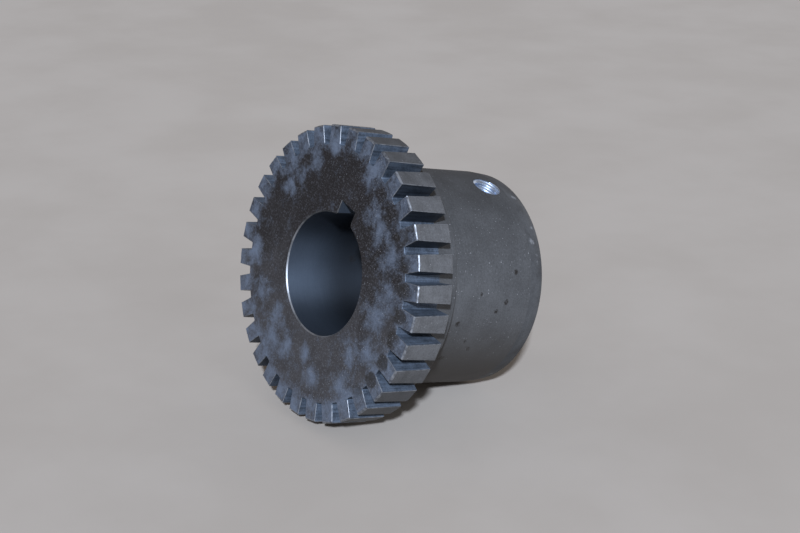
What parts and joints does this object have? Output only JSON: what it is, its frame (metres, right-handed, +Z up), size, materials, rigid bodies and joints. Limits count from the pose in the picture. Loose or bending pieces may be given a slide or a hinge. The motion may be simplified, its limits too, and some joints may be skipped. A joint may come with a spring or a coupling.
{
  "type": "toothed coupling hub",
  "caption": "Steel hub half of a flexible shaft coupling: slotted toothed rim, plain bore with keyway, and a set screw over the keyway.",
  "frame": {"origin": "on the bore's axis, halfway along the hub", "axes": "+Y runs along the bore from the toothed face to the plain end; +Z is up as the hub lies on its side; the keyway leans 15.1 degrees from +Z towards +X, and the set screw over it 18.2 degrees"},
  "size_m": [0.076, 0.0508, 0.076],
  "materials": {
    "hub_steel": "machined medium-carbon steel, dulled by oil and handling, satin",
    "screw_steel": "bright plated alloy steel"
  },
  "bodies": {
    "hub": {"hub": "hub_steel"},
    "set_screw": {"set_screw": "screw_steel"}
  },
  "joints": [
    {"name": "set_screw_travel", "type": "slide", "parent": "hub", "child": "set_screw", "axis": [0.3123, 0, 0.95], "range_m": [-0.00141, 0.00564]}
  ]
}
